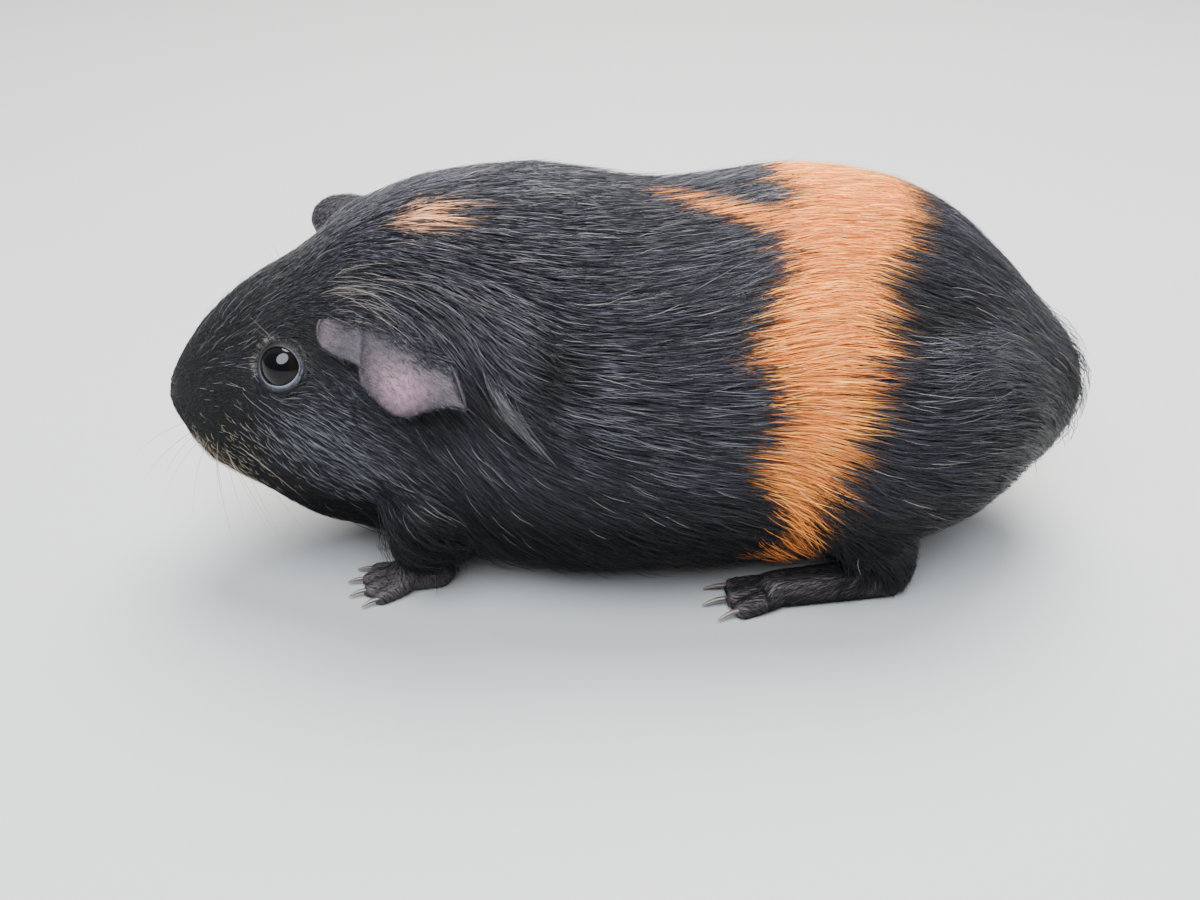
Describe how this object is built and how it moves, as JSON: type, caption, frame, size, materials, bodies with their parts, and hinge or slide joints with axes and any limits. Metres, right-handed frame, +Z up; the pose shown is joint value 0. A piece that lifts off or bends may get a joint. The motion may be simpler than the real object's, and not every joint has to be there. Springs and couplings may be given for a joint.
{
  "type": "guinea pig",
  "caption": "Life-size still model of a smooth-coated guinea pig crouched on its four feet, black with a broad orange band round its loins.",
  "frame": {"origin": "on the floor, under the middle of the model's length and width", "axes": "-X towards the nose, -Y towards the animal's left side, +Z up"},
  "size_m": [0.2438, 0.1116, 0.1057],
  "materials": {
    "coat": "short smooth fur, glossy black with a broad orange band behind the middle and a small orange patch behind the left ear",
    "bare_skin": "thin, nearly bare grey-pink skin with fine down",
    "claw_horn": "dark translucent horn, smooth",
    "eye": "wet black-brown, mirror-like"
  },
  "bodies": {
    "root": {"claw_fore_left_1": "claw_horn", "claw_fore_left_2": "claw_horn", "claw_fore_left_3": "claw_horn", "claw_fore_left_4": "claw_horn", "claw_fore_right_1": "claw_horn", "claw_fore_right_2": "claw_horn", "claw_fore_right_3": "claw_horn", "claw_fore_right_4": "claw_horn", "claw_hind_left_1": "claw_horn", "claw_hind_left_2": "claw_horn", "claw_hind_left_3": "claw_horn", "claw_hind_right_1": "claw_horn", "claw_hind_right_2": "claw_horn", "claw_hind_right_3": "claw_horn", "ear_left": "bare_skin", "ear_right": "bare_skin", "eye_left": "eye", "eye_right": "eye", "forefoot_left": "bare_skin", "forefoot_right": "bare_skin", "foreleg_left": "coat", "foreleg_right": "coat", "head": "coat", "hind_leg_left": "coat", "hind_leg_right": "coat", "hindfoot_left": "bare_skin", "hindfoot_right": "bare_skin", "neck": "coat", "rump": "coat", "trunk": "coat"}
  },
  "joints": []
}
